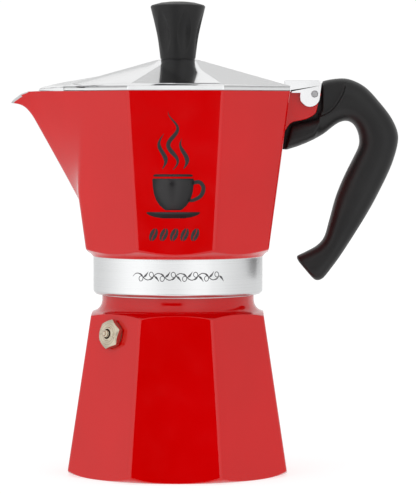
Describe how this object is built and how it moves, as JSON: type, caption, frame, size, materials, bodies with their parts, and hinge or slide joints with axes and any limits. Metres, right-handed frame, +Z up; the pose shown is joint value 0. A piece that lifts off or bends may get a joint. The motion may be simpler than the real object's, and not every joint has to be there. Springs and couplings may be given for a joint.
{
  "type": "moka pot",
  "caption": "Octagonal stovetop coffee pot with painted boiler and spouted collector, hinged metal lid with a black knob, and a bent black handle.",
  "frame": {"origin": "on the pot's axis, at the flat foot of the boiler", "axes": "+Z up along the axis, +X towards the handle, -X towards the spout, -Y towards the front facet"},
  "size_m": [0.1765, 0.102, 0.2151],
  "materials": {
    "red_paint": "gloss",
    "aluminium": "satin",
    "lid_aluminium": "polished",
    "black_plastic": "satin",
    "nickel_brass": "satin",
    "brass": "satin",
    "steel": "satin",
    "fibre": "matte",
    "seal_rubber": "matte"
  },
  "bodies": {
    "boiler": {"boiler": "red_paint", "valve_body": "nickel_brass", "valve_washer": "fibre", "valve_seat": "brass", "valve_spring": "steel"},
    "valve_pin": {"valve_piston": "nickel_brass"},
    "funnel": {"funnel_cup": "aluminium", "funnel_stem": "aluminium", "funnel_sieve": "steel"},
    "gasket": {"gasket": "seal_rubber"},
    "filter": {"filter_plate": "steel"},
    "collector": {"collector": "red_paint", "riser_column": "aluminium", "riser_cap": "aluminium", "handle": "black_plastic", "hinge_pin": "steel"},
    "lid": {"lid": "lid_aluminium", "knob": "black_plastic", "knob_insert": "brass", "knob_screw": "steel", "knob_washer": "steel"}
  },
  "joints": [
    {"name": "lift_off", "type": "slide", "parent": "boiler", "child": "gasket", "axis": [0, 0, 1], "range_m": [0, 0.2]},
    {"name": "thread_rise", "type": "slide", "parent": "gasket", "child": "filter", "axis": [0, 0, 1], "range_m": [0, 0.006]},
    {"name": "unscrew", "type": "hinge", "parent": "filter", "child": "collector", "pos_m": [0, 0, 0.0865], "axis": [0, 0, 1], "range_deg": [0, 720]},
    {"name": "lid_hinge", "type": "hinge", "parent": "collector", "child": "lid", "pos_m": [0.0622, 0, 0.1729], "axis": [0, 1, 0], "range_deg": [0, 105]},
    {"name": "funnel_lift", "type": "slide", "parent": "boiler", "child": "funnel", "axis": [0, 0, 1], "range_m": [0, 0.09]},
    {"name": "valve_slide", "type": "slide", "parent": "boiler", "child": "valve_pin", "axis": [-0.6994, -0.6994, 0.147], "range_m": [0, 0.0015], "stiffness_N_per_m": 600, "springref_m": -0.002, "deforming": ["valve_spring"]}
  ],
  "couplings": [
    {"joint": "thread_rise", "follows": "unscrew", "m_per_rad": 0.0004774},
    {"joint": "funnel_lift", "follows": "lift_off", "ratio": 0.45}
  ]
}
